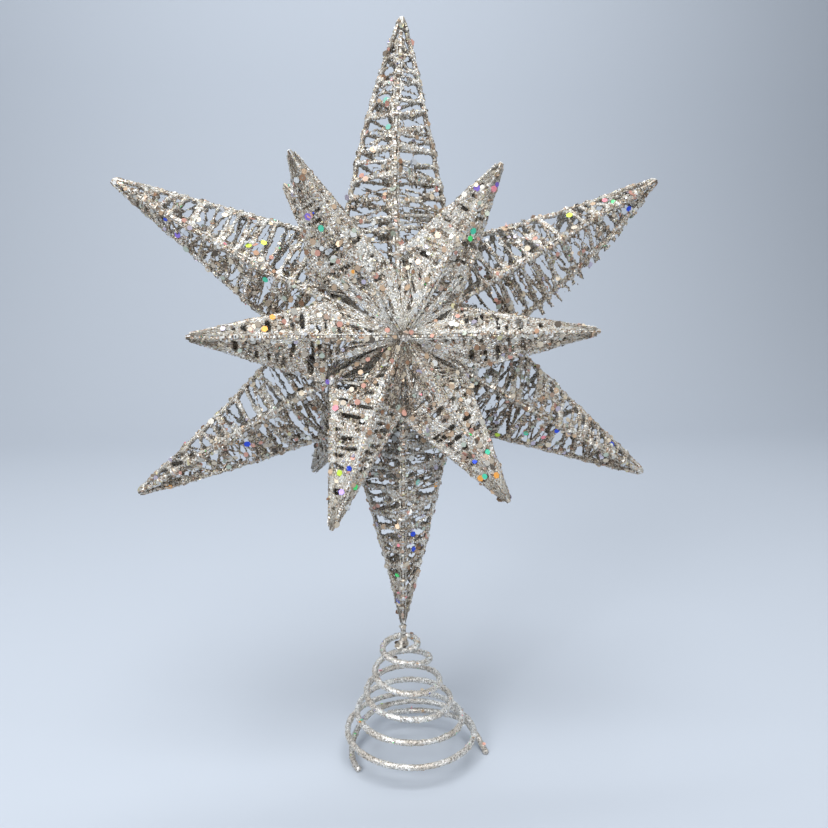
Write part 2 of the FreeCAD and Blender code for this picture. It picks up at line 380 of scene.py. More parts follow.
def lace(pile, rng, place, field, normal, shade):
    """A sheet of thread and glue with holes. Place is a grid of points, and there is thread where field is
    over 0. Returns the middle and the area of every cell that has thread."""
    rows, columns = field.shape
    thick = np.clip(field, 0, 1)
    height = lace_thickness * (0.4 * np.sqrt(thick) + 0.6 * thick)
    height = height * (1 + lace_roughness * rng.normal(size=field.shape))
    down, over = np.gradient(field)
    steep = down ** 2 + over ** 2 + 1e-6
    short = -np.minimum(field, 0) / steep
    shift = [np.clip(short * slope, -0.9, 0.9)[:, :, None] for slope in (down, over)]
    place = place + shift[0] * np.gradient(place, axis=0) + shift[1] * np.gradient(place, axis=1)
    index = np.arange(rows * columns).reshape(rows, columns)
    quads = np.stack([index[:-1, :-1], index[1:, :-1], index[1:, 1:], index[:-1, 1:]], -1).reshape(-1, 4)
    flat = field.ravel()
    quads = quads[flat[quads].max(1) > 0]
    used, quads = np.unique(quads, return_inverse=True)
    quads = quads.reshape(-1, 4)
    points, height = place.reshape(-1, 3)[used], height.ravel()[used][:, None]
    corners = points[quads]
    facing = np.cross(corners[:, 2] - corners[:, 0], corners[:, 3] - corners[:, 1])
    if facing.sum(0) @ normal < 0:
        quads = quads[:, ::-1]
    patch = blotches(rng, rows, columns, 6).ravel()[used][quads[:, 0]]
    middle_of_strand = np.clip(flat[used][quads].mean(1), 0, 1)
    # painted shade: thin strand edges, in the grooves between strands, take darker foils than the strands'
    # middles
    darker = groove_painted_shade * (0.5 - middle_of_strand)
    # shade, mostly painted shade where a sheet looks down, moves every cell toward the darker foils
    tone = rng.random(len(quads)) + darker + patch_darkening * patch + shade
    slots = np.searchsorted(tone_steps, np.clip(tone, 0, 0.999), "right")
    pile.add(points + normal * height, quads, slots)
    pile.add(points - normal * height * underside_share, quads[:, ::-1], rng.permutation(slots))
    return corners.mean(1), np.linalg.norm(facing, axis=1) / 2


# -------------------------------------------------------------------- materials

def principled(name):
    material = bpy.data.materials.new(name)
    material.use_nodes = True
    nodes, links = material.node_tree.nodes, material.node_tree.links
    return material, nodes, links, nodes["Principled BSDF"]


# the browner patches in a skin of glitter
patch_scale = 90
patch_detail = 3
patch_tint = (0.78, 0.72, 0.66, 1)
patch_fade_start = 0.42
patch_fade_end = 0.62


def glitter(name, light, middle, dark, chip=0.45, metallic=0.55, roughness=0.42, bump=0.35):
    """A skin of fine chips, each a little lighter or darker and tilted its own way."""
    material, nodes, links, shader = principled(name)
    place = nodes.new("ShaderNodeTexCoord")
    cells = nodes.new("ShaderNodeTexVoronoi")
    cells.inputs["Scale"].default_value = 1 / (chip * MM)
    links.new(place.outputs["Object"], cells.inputs["Vector"])
    split = nodes.new("ShaderNodeSeparateColor")
    links.new(cells.outputs["Color"], split.inputs["Color"])
    ramp = nodes.new("ShaderNodeValToRGB")
    ramp.color_ramp.interpolation = "CONSTANT"
    stops = [(0.0, dark), (0.20, middle), (0.42, light), (0.66, tuple(0.72 * c for c in light)),
             (0.82, tuple(min(1.0, 1.25 * c) for c in light)), (0.94, (0.90, 0.90, 0.88))]
    for i, (at, colour) in enumerate(stops):
        mark = ramp.color_ramp.elements[i] if i < 2 else ramp.color_ramp.elements.new(at)
        mark.position = at
        mark.color = (*colour, 1)
    links.new(split.outputs["Red"], ramp.inputs["Fac"])
    patches = nodes.new("ShaderNodeTexNoise")
    patches.inputs["Scale"].default_value = patch_scale
    patches.inputs["Detail"].default_value = patch_detail
    links.new(place.outputs["Object"], patches.inputs["Vector"])
    tint = nodes.new("ShaderNodeMix")
    tint.data_type = "RGBA"
    tint.blend_type = "MULTIPLY"
    tint.inputs["B"].default_value = patch_tint
    fade = nodes.new("ShaderNodeMapRange")
    fade.inputs["From Min"].default_value = patch_fade_start
    fade.inputs["From Max"].default_value = patch_fade_end
    links.new(patches.outputs["Fac"], fade.inputs["Value"])
    links.new(fade.outputs["Result"], tint.inputs["Factor"])
    links.new(ramp.outputs["Color"], tint.inputs["A"])
    links.new(tint.outputs["Result"], shader.inputs["Base Color"])
    rough = nodes.new("ShaderNodeMapRange")
    rough.inputs["To Min"].default_value = roughness - 0.16
    rough.inputs["To Max"].default_value = roughness + 0.22
    links.new(split.outputs["Green"], rough.inputs["Value"])
    links.new(rough.outputs["Result"], shader.inputs["Roughness"])
    relief = nodes.new("ShaderNodeBump")
    relief.inputs["Strength"].default_value = bump
    relief.inputs["Distance"].default_value = 0.25 * MM
    links.new(split.outputs["Blue"], relief.inputs["Height"])
    links.new(relief.outputs["Normal"], shader.inputs["Normal"])
    shader.inputs["Metallic"].default_value = metallic
    return material


def foil(name, colour, metallic=0.75, roughness=0.3, film=0.0):
    """One colour of foil chip. The flakes take many of these, so their colours mix as they do in a jar."""
    material, _, _, shader = principled(name)
    shader.inputs["Base Color"].default_value = (*colour, 1)
    shader.inputs["Metallic"].default_value = metallic
    shader.inputs["Roughness"].default_value = roughness
    if film:
        shader.inputs["Thin Film Thickness"].default_value = film
        shader.inputs["Thin Film IOR"].default_value = 1.5
    return material


wire_glitter = glitter("wire_glitter", (0.66, 0.65, 0.61), (0.36, 0.34, 0.30), (0.09, 0.08, 0.07), chip=0.55)
coil_glitter = glitter("coil_glitter", (0.84, 0.85, 0.83), (0.64, 0.64, 0.62), (0.32, 0.31, 0.29), chip=0.5)
glue_glitter = glitter("glue_glitter", (0.76, 0.75, 0.72), (0.54, 0.52, 0.49), (0.32, 0.30, 0.28), chip=0.6)

# foil colours, and how common each is among a hundred flakes
plain_foils = [
    (foil("foil_bright", (0.74, 0.74, 0.71), metallic=0.3), 11),
    (foil("foil_pearl", (0.58, 0.61, 0.66), metallic=0.6, film=420), 6),
    (foil("foil_silver", (0.49, 0.48, 0.44), metallic=0.5, roughness=0.40), 30),
    (foil("foil_champagne", (0.48, 0.42, 0.34), metallic=0.4), 20),
    (foil("foil_straw", (0.54, 0.50, 0.30), metallic=0.45), 3),
    (foil("foil_rose", (0.44, 0.32, 0.25), metallic=0.35), 8),
    (foil("foil_bronze", (0.27, 0.195, 0.135), metallic=0.4), 13),
    (foil("foil_smoke", (0.11, 0.09, 0.07), metallic=0.3), 9),
]
sequin_foils = [
    (foil("foil_tan", (0.52, 0.38, 0.26), metallic=0.3), 20),
    (foil("foil_salmon", (0.56, 0.30, 0.24), metallic=0.3), 13),
    (foil("foil_beige", (0.62, 0.54, 0.42), metallic=0.3), 24),
    (foil("foil_sage", (0.46, 0.52, 0.44), metallic=0.35), 12),
    (foil("foil_lilac", (0.46, 0.43, 0.54), metallic=0.35), 8),
    (foil("foil_brown", (0.30, 0.17, 0.10), metallic=0.3), 13),
    (foil("foil_ice", (0.68, 0.70, 0.70), metallic=0.4), 14),
]
bright_foils = [
    foil("foil_teal", (0.08, 0.62, 0.40), metallic=0.35),
    foil("foil_green", (0.08, 0.78, 0.20), metallic=0.3),
    foil("foil_lime", (0.62, 0.85, 0.08), metallic=0.3),
    foil("foil_blue", (0.02, 0.07, 0.62), metallic=0.3),
    foil("foil_violet", (0.24, 0.16, 0.60), metallic=0.3),
    foil("foil_pink", (0.90, 0.30, 0.36), metallic=0.35),
    foil("foil_orange", (0.80, 0.36, 0.07), metallic=0.35),
    foil("foil_aqua", (0.30, 0.70, 0.58), metallic=0.4),
]
foils = [material for material, _ in plain_foils + sequin_foils] + bright_foils
plain_odds = np.array([odds for _, odds in plain_foils], float)
plain_odds /= plain_odds.sum()
tone_steps = np.cumsum(plain_odds)[:-1]
own_colour = 0.65


def colours(rng, count, bright, shade=0.0):
    """A foil slot for each grain of glitter; bright is the share with a vivid colour."""
    plain = np.searchsorted(tone_steps, np.clip(rng.random(count) + shade, 0, 0.999))
    vivid = len(foils) - 1 - rng.integers(len(bright_foils), size=count)
    return np.where(rng.random(count) < bright, vivid, plain)


def sequin_colours(rng, count, bright):
    """A foil slot for each sequin: most have colours of their own, the rest those of the glitter."""
    odds = np.array([odds for _, odds in sequin_foils], float)
    own = len(plain_foils) + rng.choice(len(sequin_foils), count, p=odds / odds.sum())
    glitter_slots = colours(rng, count, bright)
    return np.where((rng.random(count) < own_colour) & (glitter_slots < len(plain_foils)), own, glitter_slots)


# ------------------------------------------------------------ the star's layout

def in_plane(angle, radius, y=0.0):
    a = math.radians(angle)
    return np.array([hub_x + radius * math.cos(a), y, hub_height + radius * math.sin(a)])


def valley(k):
    """The notch in the outline after long spike k."""
    k = k % spike_count
    after = long_angle[(k + 1) % spike_count] + (360 if k + 1 == spike_count else 0)
    return in_plane((long_angle[k] + after) / 2, valley_r)


def apex(side):
    return np.array([hub_x, side * hub_half_depth, hub_height])


def long_tip(k):
    return in_plane(long_angle[k], long_length[k])


def seats(k, side):
    """Where small spike k's edges land: on the long ridge after it, and on the one before."""
    after, before = (front_seat_after, front_seat_before) if side < 0 else (back_seat_after, back_seat_before)
    top = apex(side)
    return (top + unit(long_tip(k) - top) * after[k],
            top + unit(long_tip((k - 1) % spike_count) - top) * before[k])


def small_tip(k, side):
    angles, reaches = (front_angle, front_reach) if side < 0 else (back_angle, back_reach)
    return in_plane(angles[k], reaches[k], side * small_forward)


class Spike:
    """A tip and the far ends of the four wires that meet there, in order round the spike. The wires meet side
    by side at the tip, spread a little, and each may bow away from its straight line."""

    def __init__(self, tip, ends, spread, bows=None):
        self.tip, self.spread = tip, spread
        self.ends = np.array(ends)
        self.bows = np.zeros((4, 3)) if bows is None else np.array(bows)
        self.axis = unit(tip - self.ends.mean(0))
        self.reach = (tip - self.ends) @ self.axis
        slopes = (self.ends - tip) / self.reach[:, None]
        self.out = unit(slopes + self.axis)
        self.near = tip - self.axis * tip_bend + self.out * spread

    def wire(self, edge, back):
        """The point on a wire that is this far back from the tip, measured along the spike."""
        edge = edge % 4
        share = max(0.0, (min(back, self.reach[edge] - 1.0) - tip_bend) / (self.reach[edge] - tip_bend))
        straight_place = self.near[edge] + (self.ends[edge] - self.near[edge]) * share
        return straight_place + self.bows[edge] * math.sin(math.pi * share)

    def wire_strand(self, rng, edge, radius, sway=0.28):
        """The wire itself, bent at its tip and a little uneven along its length."""
        reach = self.reach[edge] - 2.0
        backs = np.linspace(tip_bend, reach, int((reach - tip_bend) / step))
        path = np.array([self.wire(edge, back) for back in backs])
        count = len(path)
        side = unit(np.cross(self.axis, self.out[edge]))
        taper = np.sin(np.pi * np.linspace(0, 1, count)) ** 0.5 * sway
        path = path + side * (taper * wander(rng, count, 9))[:, None]
        path = path + self.out[edge] * (taper * wander(rng, count, 9))[:, None]
        path = np.concatenate([[self.tip - self.axis * 0.5 + self.out[edge] * 0.3], path])
        thin = 1 - fine_tip * np.exp(-np.concatenate([[0], backs]) / 7.0) * (self.spread < long_tip_spread)
        radii = radius * thin * (1 + 0.08 * wander(rng, count + 1, 3))
        return Strand(path, radii, np.broadcast_to(self.out[edge], path.shape))


def face_normal(spike, face):
    """The outward normal of a face."""
    left, right = spike.ends[face], spike.ends[(face + 1) % 4]
    normal = unit(np.cross(left - spike.tip, right - spike.tip))
    return normal * np.sign(normal @ ((left + right) / 2 - spike.ends.mean(0)))


def straight_wire(rng, start, end, radius, sway):
    """A wire that strays from a straight line by about sway."""
    count = max(6, int(np.linalg.norm(end - start) / step))
    share = np.linspace(0, 1, count)
    direction = unit(end - start)
    side = unit(np.cross(direction, [0.31, 0.52, 0.79]))
    other = np.cross(direction, side)
    taper = np.sin(np.pi * share) ** 0.5 * sway
    path = start + (end - start) * share[:, None]
    path = path + side * (taper * wander(rng, count, 9))[:, None]
    path = path + other * (taper * wander(rng, count, 9))[:, None]
    return Strand(path, radius * (1 + 0.10 * wander(rng, count, 3)))


def wound_runs(rng, first, last, threads, knots, pull):
    """Where threads that run round and round a spike cross each of its four faces: the distance back from the
    tip at one wire and at the next, and half the strand's width. The turns gather at knots on each wire."""
    runs = [[], [], [], []]
    for pitch, jitter, radius in threads:
        back, edge, before = first, int(rng.integers(4)), None
        while back < last:
            stop = back + jitter * rng.normal()
            nearest = knots[edge % 4][np.argmin(abs(knots[edge % 4] - stop))]
            stop = float(np.clip(stop + pull * (nearest - stop), first, last))
            if before is not None:
                runs[(edge - 1) % 4].append((before, stop, radius * rng.uniform(0.7, 1.35)))
            before = stop
            back += pitch / 4
            edge += 1
    return runs


def face_lace(pile, rng, spike, face, first, last, runs, cover, shade, lift, fringe):
    """One face of a spike, with its threads. Cover above 0 closes its holes. Fringe is how far the threads
    hang past each of its two wires, as a share of its width."""
    rows = int((last - first) / cell)
    backs = np.linspace(first, last, rows)
    left = np.array([spike.wire(face, back) for back in backs])
    right = np.array([spike.wire(face + 1, back) for back in backs])
    width = np.linalg.norm(right - left, axis=1)
    columns = max(6, int(width.max() / cell * (1 + sum(fringe))))
    share = np.linspace(-fringe[0], 1 + fringe[1], columns)
    normal = face_normal(spike, face)
    place = left[:, None] * (1 - share)[None, :, None] + right[:, None] * share[None, :, None] + normal * lift
    across = width[:, None]
    glued = bell(across * share / wire_glue_width) + bell(across * (1 - share) / wire_glue_width)
    field = wire_glue * glued
    past = np.maximum(-share, share - 1) * across
    jagged = 0.75 + 0.8 * wander(rng, rows, 5) + 0.3 * wander(rng, rows, 1)
    hang = fringe_length * np.clip(jagged, 0.05, 1.5)[:, None]
    for start, end, radius in runs:
        bow = rng.normal() * thread_bow * np.sin(np.pi * share) + thread_wobble * wander(rng, columns, 4)
        line = start + (end - start) * share + bow
        run = np.interp((start + end) / 2, backs, width)
        slant = 1 / math.hypot(1, (end - start) / run)
        near_wire = np.exp(-(run * np.minimum(share, 1 - share) / thread_end_width) ** 2)
        fat = radius * (1 + thread_unevenness * wander(rng, columns, 2) + thread_end_swell * near_wire)
        field += bell((backs[:, None] - line) * slant / fat)
    roughen(field, rng, face_unevenness, cover)
    ragged = last - ragged_end * rng.random() ** 2 + ragged_wobble * wander(rng, columns, 3)
    field -= below_zero(ragged - backs[:, None], ragged_softness)
    if sum(fringe):
        field -= below_zero(hang - past, fringe_softness) + fringe_thinning
    return lace(pile, rng, place, 2 * field - 1, normal, shade), normal


def knots_along(rng, first, last, gap):
    return [np.cumsum(rng.uniform(0.6 * gap, 1.4 * gap, int((last - first) / gap) + 2)) + first - gap
            for _ in range(4)]


def dust(pile, rng, strands, per_mm, size, bright=0.012, shade=0.0):
    """Glitter chips stuck all over some strands."""
    for strand in strands:
        middles, skin, _, _ = strand.places(rng, int(strand.length * per_mm))
        if not len(middles):
            continue
        count = len(middles)
        normals = unit(skin + 0.8 * rng.normal(size=(count, 3)))
        radii = rng.uniform(0.55, 1.35, count) * size
        grains(pile, rng, middles, normals, radii, 0.5 * radii[:, None], colours(rng, count, bright, shade))


def sequins(pile, rng, strands, per_mm, bright=0.02, small=0.75, large=1.45, stray=0.7):
    """Hexagons lying on the outward side of some strands, some of them reaching over a gap."""
    for strand in strands:
        middles, _, along, out = strand.places(rng, rng.poisson(strand.length * per_mm), 0.1)
        if not len(middles):
            continue
        count = len(middles)
        normals = unit(out + 0.33 * rng.normal(size=(count, 3)))
        across = unit(np.cross(out, along))
        radii = small + (large - small) * rng.random(count) ** 1.6
        middles = middles + across * rng.normal(0, stray, count)[:, None]
        middles = middles + out * rng.uniform(0.05, 0.35, count)[:, None]
        plates(pile, rng, middles, normals, radii, sequin_thickness, sequin_colours(rng, count, bright))


# how much glitter the lace carries, and the share of it with a vivid colour
grit_per_mm2 = 0.9
grit_bright = 0.006
sequin_thickness = 0.16
# a face looks forward or back: faces 0 and 3 lie on either side of the front ridge
forward_faces = (0, 3)
rear_faces = (1, 2)
# spikes whose glitter is browner than the rest, with more sequins
browner = {"long_spike_6": 0.12, "front_spike_4": 0.03}
# spikes whose threads are closer together, or further apart, than the rest
closer = {"long_spike_5": 0.13, "front_spike_2": 0.04, "front_spike_5": -0.02, "front_spike_6": 0.08}

# the large, strikingly coloured flakes on the front of some spikes: the range of distances back from the tip,
# their lift off the face, their size, and the colours on each spike
vivid_first_back = 10.0
vivid_last_share = 0.85
vivid_lift = 1.25
vivid_radii = (1.15, 1.45)
vivid_thickness = 0.18
vivid_flakes = {
    "long_spike_1": ("green", "blue", "lime", "pink"),
    "long_spike_2": ("aqua", "aqua"),
    "long_spike_3": ("teal", "lime", "lime", "violet"),
    "long_spike_4": ("blue", "orange"),
    "long_spike_5": ("blue", "aqua", "green", "blue", "pink", "orange"),
    "long_spike_6": ("blue", "pink", "lime"),
    "front_spike_2": ("green", "teal", "violet", "pink"),
    "front_spike_3": ("teal", "violet"),
    "front_spike_4": ("orange", "orange"),
    "front_spike_5": ("blue", "lime", "violet", "green"),
    "front_spike_6": ("teal", "orange", "teal", "orange"),
}


def lay_vivid_flakes(pile, rng, spike, chosen):
    """Each of the chosen flakes, at a random place on one of the two faces that look forward."""
    names = [material.name for material in foils]
    for colour in chosen:
        face = int(rng.choice(forward_faces))
        back = rng.uniform(vivid_first_back, vivid_last_share * spike.reach.min())
        left, right = spike.wire(face, back), spike.wire(face + 1, back)
        normal = face_normal(spike, face)
        place = left + (right - left) * rng.uniform(0.1, 0.9) + normal * vivid_lift
        tilted = normal + 0.10 * rng.normal(size=3)
        radius = np.array([rng.uniform(*vivid_radii)])
        slot = np.array([names.index("foil_" + colour)])
        plates(pile, rng, place[None], tilted[None], radius, vivid_thickness, slot)


def scatter(grit, flakes, rng, cells, normal, flakes_per_mm2, shade, bright=0.012):
    """Glitter chips and hexagonal sequins on a sheet of lace."""
    middles, areas = cells
    odds = areas / areas.sum()
    count = rng.poisson(areas.sum() * grit_per_mm2)
    side = rng.choice([-1.0, 1.0], count, p=[0.3, 0.7])[:, None]
    place = middles[rng.choice(len(middles), count, p=odds)]
    place = place + normal * side * rng.uniform(0.2, 0.7, (count, 1))
    radii = rng.uniform(0.25, 0.55, count)
    tilted = normal * side + 0.9 * rng.normal(size=(count, 3))
    # the chips take the sheet's painted shade too, so they are darker where it looks down
    grains(grit, rng, place, tilted, radii, 0.5 * radii[:, None], colours(rng, count, grit_bright, shade))
    count = rng.poisson(areas.sum() * flakes_per_mm2)
    place = middles[rng.choice(len(middles), count, p=odds)] + normal * rng.uniform(0.45, 0.85, (count, 1))
    place = place + rng.normal(0, 0.3, (count, 3))
    tilted = normal + 0.28 * rng.normal(size=(count, 3))
    radii = 0.7 + 0.75 * rng.random(count) ** 1.2
    plates(flakes, rng, place, tilted, radii, sequin_thickness, sequin_colours(rng, count, bright))


def dress_spike(rng, name, spike, body, wire_nodes, thread_node, dense, sequin_node, fringe=None):
    """The wires, lace and flakes of one spike. Fringe is the edge that threads hang past, if there is one."""
    first = fine_first_back if spike.spread < long_tip_spread else long_first_back
    reach = dense_reach if dense else open_reach
    gap, pull = dense_knots if dense else open_knots
    knots = knots_along(rng, first, reach, gap)
    runs = wound_runs(rng, first, reach, dense_threads if dense else open_threads, knots, pull)
    wires = [spike.wire_strand(rng, edge, star_wire_r) for edge in range(4)]
    for edge, wire in enumerate(wires):
        back = (spike.tip - wire.path) @ spike.axis
        stops = np.array([run[0] for run in runs[edge]])
        wraps = np.exp(-((back[:, None] - stops[None]) / 0.7) ** 2).sum(1)
        swell = dense_swell if dense else front_ridge_swell if edge == 0 else open_swell
        wire.radius = wire.radius * (1 + swell * np.minimum(wraps, 1.3))
        wire.radius = wire.radius + 0.05 * rng.normal(size=len(back))
    pile = Pile()
    for wire in wires:
        wire.tube(pile, rng, 9, 0.08, speckle=True)
    pile.make(name + "_glittered_wires", body, wire_nodes, foils, "glitter_wire", smooth=False)

    pile, grit, flakes = Pile(), Pile(), Pile()
    for face in range(4):
        up = face_normal(spike, face)[2]
        cover = rng.normal(0, 0.04) + ((0.03 - 0.05 * up) if dense else -0.02) + closer.get(name, 0.0)
        if face in rear_faces:
            cover -= dense_back_opening if dense else open_back_opening
        # painted shade: faces that look down take darker, browner foils and faces that look up slightly
        # lighter ones; browner adds the spike's own colour on top
        shade = 0.05 - (0.08 if up > 0 else 0.34) * up + browner.get(name, 0.0)
        hangs = [fringe_share if fringe == edge else 0.0 for edge in (face, (face + 1) % 4)]
        cells, normal = face_lace(pile, rng, spike, face, first - 1.5, reach, runs[face], cover, shade,
                                  small_lace_lift if dense else lace_lift, hangs)
        flakes_per_mm2 = 0.065 - 0.025 * up + 0.25 * browner.get(name, 0.0)
        scatter(grit, flakes, rng, cells, normal, flakes_per_mm2, shade)
    pile.make(name + "_wound_thread", body, [thread_node], foils, "glitter_thread", smooth=False)
    dust(grit, rng, wires, 2.4, 0.36)
    grit.make(name + "_glitter", body, [], foils, "sequin", smooth=False)
    sequins(flakes, rng, wires, 0.16, stray=0.3, large=1.2)
    lay_vivid_flakes(flakes, rng, spike, vivid_flakes.get(name, ()))
    flakes.make(name + "_sequins", body, [sequin_node], foils, "sequin", smooth=False)


def lump(rng, pile, middle, radius, rough=0.18, rings=14, sides=18):
    """A knobbly drop of glue and glitter."""
    middle = np.asarray(middle, float)
    radius = np.broadcast_to(radius, 3)
    bumps = unit(rng.normal(size=(16, 3)))
    sizes = rng.uniform(-0.6, 1.0, 16)
    lat = np.pi * (np.arange(1, rings) / rings)
    lon = 2 * np.pi * np.arange(sides) / sides
    ball = np.stack([np.sin(lat)[:, None] * np.cos(lon)[None], np.sin(lat)[:, None] * np.sin(lon)[None],
                     np.repeat(np.cos(lat)[:, None], sides, 1)], -1).reshape(-1, 3)
    ball = np.concatenate([ball, [[0, 0, 1], [0, 0, -1]]])
    near = np.exp(-((1 - ball @ bumps.T) / 0.16))
    swell = 1 + rough * (near @ sizes)
    points = middle + ball * swell[:, None] * radius
    at = (np.arange(rings - 2) * sides)[:, None]
    k = np.arange(sides)[None, :]
    m = (k + 1) % sides
    quads = np.stack([at + k, at + sides + k, at + sides + m, at + m], -1).reshape(-1, 4)
    top, bottom = (rings - 1) * sides, (rings - 1) * sides + 1
    last = (rings - 2) * sides
    k, m = k[0], m[0]
    caps = np.concatenate([np.stack([np.full(sides, top), k, m], -1),
                           np.stack([np.full(sides, bottom), last + m, last + k], -1)])
    base = pile.count
    pile.add(points, quads)
    pile.faces.append(caps + base)
    pile.slots.append(np.zeros(len(caps), int))
    out = unit(ball)
    pick = rng.integers(len(points), size=int(26 * radius.mean() ** 2))
    return points[pick], out[pick]


def lumps_piece(rng, name, body, nodes, drops, rough=0.18, sequin_share=0.12):
    """Several knobbly drops as one piece, and their flakes as another."""
    pile, flakes = Pile(), Pile()
    for middle, radius in drops:
        places, out = lump(rng, pile, middle, radius, rough)
        count = len(places)
        radii = rng.uniform(0.25, 0.6, count)
        tilted = out + 0.5 * rng.normal(size=(count, 3))
        slots = colours(rng, count, 0.01)
        grains(flakes, rng, places + out * 0.05, tilted, radii, 0.3 * radii[:, None], slots)
        some = rng.random(count) < sequin_share
        places, out, count = places[some] + out[some] * 0.15, out[some], some.sum()
        tilted = out + 0.3 * rng.normal(size=(count, 3))
        radii = rng.uniform(0.7, 1.2, count)
        plates(flakes, rng, places, tilted, radii, sequin_thickness, colours(rng, count, 0.03))
    pile.make(name, body, nodes, [glue_glitter], "glue")
    flakes.make(name + "_flakes", body, [], foils, "sequin", smooth=False)


# ------------------------------------------------------------------- the star

# how far the four wires of some long spikes bow out of line at their middles
straight = (0, 0, 0)
long_bows = {
    0: (straight, (0.8, 0, -1.5), straight, (1.5, 0, -2.2)),
    1: ((-3.0, 0, 0), (-2.2, 0, 0), (-2.5, 0, 0), (0.6, 0, 0)),
    2: ((-1.3, 0, -2.2), straight, straight, straight),
    3: (straight, (0.5, 0, -1.0), straight, (0.8, 0, -1.4)),
    4: (straight, (0.8, 0, 0), straight, (1.2, 0, 0)),
}
lowest_spike = 4
for k in range(spike_count):
    spread = lowest_tip_spread if k == lowest_spike else long_tip_spread
    spike = Spike(long_tip(k), [apex(-1), valley(k), apex(1), valley(k - 1)], spread, long_bows.get(k))
    name = "long_spike_%d" % (k + 1)
    wire_nodes = [name + "_side_wire", name + "_ridge_wires"]
    fringe = torn_edge if k == torn_spike else None
    dress_spike(np.random.default_rng(long_seed + k), name, spike, "star", wire_nodes, name + "_winding",
                False, "sequins_front", fringe)
for label, side in (("front", -1), ("back", 1)):
    for k in range(spike_count):
        after, before = seats(k, side)
        spike = Spike(small_tip(k, side), [apex(side), after, valley(k - 1), before], small_tip_spread)
        name = "%s_spike_%d" % (label, k + 1)
        dress_spike(np.random.default_rng(small_seed + 10 * k + side), name, spike, "star", [name + "_frame"],
                    name + "_winding", True, "sequins_" + label)


# drops of glue: at the hub, where the small spikes' wires land, in the notches and under the lowest tip
hub_knot_depth = 2.6
hub_knot_size = (4.6, 3.6, 4.6)
seat_drop_radii = (1.5, 2.1)
valley_drop_radii = (1.7, 2.4)
tip_drop_depth = 0.7
tip_drop_r = 1.2


def radial_lace(pile, rng, top, tip, seat, out, reach, cover, shade):
    """Threads that run out from the hub over the root of one small spike's face."""
    toward_tip, toward_seat = unit(tip - top), unit(seat - top)
    spread = math.acos(toward_tip @ toward_seat)
    radii = np.arange(1.0, reach, cell)
    columns = int(spread * reach / cell)
    share = np.linspace(0, 1, columns)
    ray = toward_tip * np.sin((1 - share) * spread)[:, None] + toward_seat * np.sin(share * spread)[:, None]
    ray = unit(ray)
    place = top + radii[:, None, None] * ray[None] + out * hub_lace_lift
    field = bell(radii[:, None] / hub_glue_r) * np.ones((1, columns))
    for band in np.linspace(0.04, 0.96, hub_bands) + rng.normal(0, hub_band_stray, hub_bands):
        for _ in range(int(rng.integers(2, 5))):
            centre = band + rng.normal(0, hub_thread_stray) + hub_thread_wobble * wander(rng, len(radii), 7)
            fat = rng.uniform(*hub_thread_radii) * (1 + 0.25 * wander(rng, len(radii), 2))
            away = abs(share[None] - centre[:, None]) * spread * radii[:, None]
            end = rng.uniform(0.6, 1.0) * reach
            fade = below_zero(radii - end, hub_thread_softness)
            field += fade[:, None] * bell(away / fat[:, None])
    edge_line = unit(tip - seat)
    inward = unit((top - seat) - ((top - seat) @ edge_line) * edge_line)
    inside = ((place - out * hub_lace_lift) - seat) @ inward
    roughen(field, rng, hub_unevenness, cover)
    field = np.where(inside > -hub_overhang, field, 0)
    return lace(pile, rng, place, 2 * field - 1, out, shade)


for label, side in (("front", -1), ("back", 1)):
    rng = np.random.default_rng(hub_seed + side)
    pile, grit, flakes = Pile(), Pile(), Pile()
    for k in range(spike_count):
        tip = small_tip(k, side)
        for seat in seats(k, side):
            top = apex(side)
            out = unit(np.cross(seat - top, tip - top))
            out = out * np.sign(out[1] * side)
            low = -unit((seat + tip) / 2 - top)[2]
            # painted shade: sectors that reach down from the apex take darker, browner foils, and upper ones
            # slightly lighter
            shade = 0.03 + (0.46 if low > 0 else 0.10) * low
            cover = 0.12 * low - 0.02
            cells = radial_lace(pile, rng, top, tip, seat, out, rng.uniform(32, 40), cover, shade)
            scatter(grit, flakes, rng, cells, out, 0.05 + 0.03 * low, shade)
    pile.make("hub_%s_radial_threads" % label, "star", ["hub_%s_threads" % label], foils, "glitter_thread",
              smooth=False)
    grit.make("hub_%s_glitter" % label, "star", [], foils, "sequin", smooth=False)
    flakes.make("hub_%s_sequins" % label, "star", ["sequins_" + label], foils, "sequin", smooth=False)
    lumps_piece(rng, "hub_%s_knot" % label, "star", ["hub_%s_glue" % label],
                [(apex(side) - np.array([0, side * hub_knot_depth, 0]), hub_knot_size)])
    landings = [seat for k in range(spike_count) for seat in seats(k, side)]
    lumps_piece(rng, "ridge_%s_drops" % label, "star", ["ridge_glue_" + label],
                [(seat, rng.uniform(*seat_drop_radii)) for seat in landings])
rng = np.random.default_rng(valley_seed)
drops = [(valley(k), rng.uniform(*valley_drop_radii)) for k in range(spike_count)]
drops.append((long_tip(lowest_spike) - np.array([0, 0, tip_drop_depth]), tip_drop_r))
lumps_piece(rng, "valley_drops", "star", ["valley_glue"], drops)


# ------------------------------------------------------------- coil and neck

